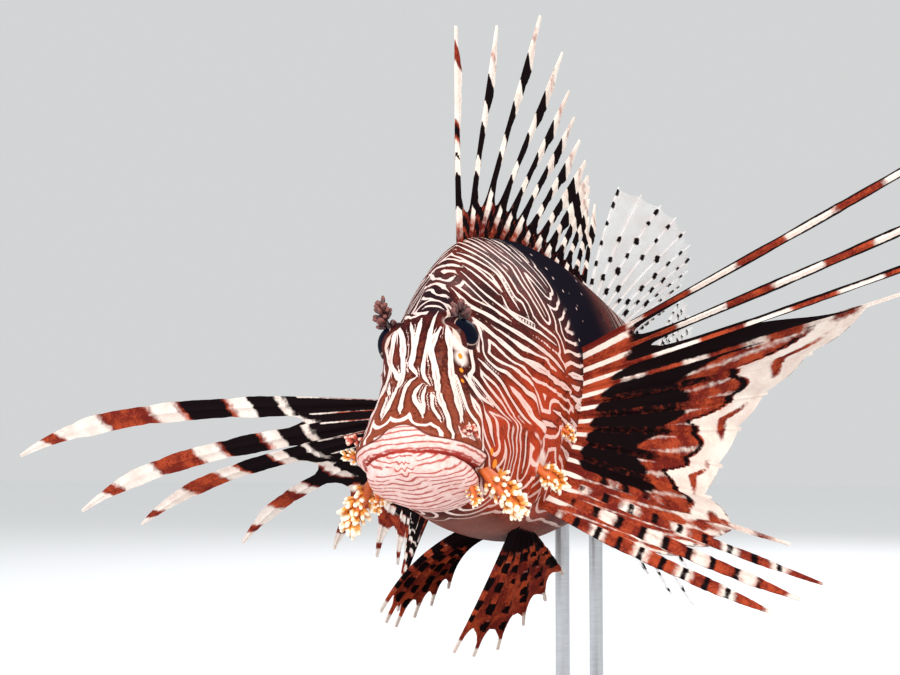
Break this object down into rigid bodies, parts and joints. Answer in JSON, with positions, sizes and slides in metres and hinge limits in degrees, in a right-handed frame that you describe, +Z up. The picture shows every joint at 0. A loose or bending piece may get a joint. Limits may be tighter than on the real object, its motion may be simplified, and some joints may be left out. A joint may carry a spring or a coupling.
{
  "type": "red lionfish",
  "caption": "Life-size striped reef fish with tall dorsal spines and wide fan fins, gliding, held on two thin rods over a flat base.",
  "frame": {"origin": "centre of the underside of the stand's base", "axes": "+Z up; the fish faces -Y and its left side is +X"},
  "size_m": [0.3285, 0.2934, 0.2154],
  "materials": {
    "skin_striped": "moist, satin",
    "skin_pale": "moist, satin",
    "fin_spines": "satin, banded",
    "fin_clear": "satin, spotted",
    "fin_banded": "satin, banded",
    "eye": "wet gloss",
    "flap_orange": "soft, matte",
    "flap_dark": "soft, matte",
    "stand_wood": "dark, satin",
    "stand_steel": "brushed"
  },
  "bodies": {
    "root": {"head": "skin_striped", "gill_cover_left": "skin_striped", "gill_cover_right": "skin_striped", "trunk_front": "skin_striped", "trunk_rear": "skin_striped", "tail_peduncle": "skin_striped", "lower_jaw": "skin_pale", "dorsal_fin_spiny": "fin_spines", "dorsal_fin_soft": "fin_clear", "anal_fin": "fin_clear", "caudal_fin": "fin_clear", "pectoral_fin_left": "fin_banded", "pectoral_fin_right": "fin_banded", "pelvic_fin_left": "fin_banded", "pelvic_fin_right": "fin_banded", "eye_left": "eye", "eye_right": "eye", "jaw_flap_left": "flap_orange", "jaw_flap_right": "flap_orange", "cheek_flap_left": "flap_orange", "cheek_flap_right": "flap_orange", "brow_tentacle_left": "flap_dark", "brow_tentacle_right": "flap_dark", "nose_flap_left": "flap_dark", "nose_flap_right": "flap_dark", "stand_base": "stand_wood", "stand_rod_front": "stand_steel", "stand_rod_rear": "stand_steel"}
  },
  "joints": []
}
